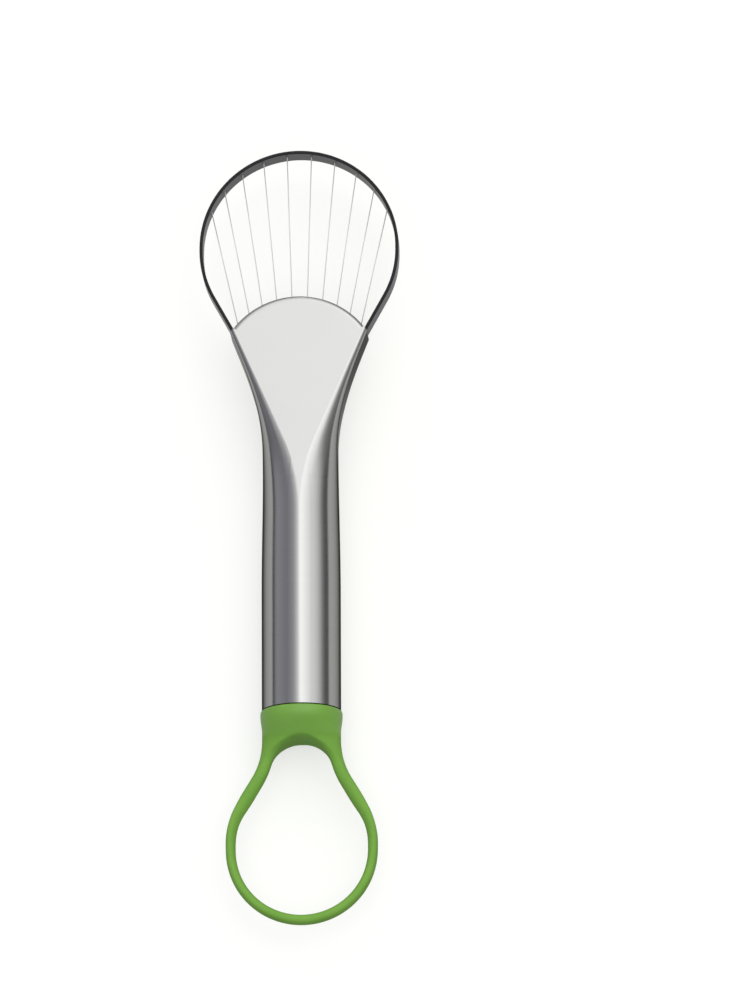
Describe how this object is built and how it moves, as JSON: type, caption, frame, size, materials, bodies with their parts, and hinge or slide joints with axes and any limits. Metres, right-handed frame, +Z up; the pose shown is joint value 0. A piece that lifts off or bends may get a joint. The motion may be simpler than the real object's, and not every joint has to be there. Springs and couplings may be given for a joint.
{
  "type": "avocado slicer",
  "caption": "Avocado slicer: a steel tube handle that opens into a flat shovel, a strip hoop strung with cutting wires, and a moulded hanging ring at the other end.",
  "frame": {"origin": "middle of the tool's length, on the surface that it lies on, under the handle's axis", "axes": "+Y along the handle from the hanging ring to the hoop, +Z up, out of the shovel's outer face, +X across the tool"},
  "size_m": [0.062, 0.245, 0.0255],
  "materials": {
    "tube_steel": "satin polished stainless steel",
    "strip_steel": "dark hardened steel strip, as rolled, with sheared edges",
    "wire_steel": "bright drawn stainless steel wire",
    "green_plastic": "green moulded polypropylene with a fine matt surface"
  },
  "bodies": {
    "root": {"handle_tube": "tube_steel", "cutting_hoop": "strip_steel", "wire_01": "wire_steel", "wire_02": "wire_steel", "wire_03": "wire_steel", "wire_04": "wire_steel", "wire_05": "wire_steel", "wire_06": "wire_steel", "wire_07": "wire_steel", "wire_08": "wire_steel", "wire_09": "wire_steel", "wire_10": "wire_steel", "end_ring": "green_plastic"}
  },
  "joints": []
}
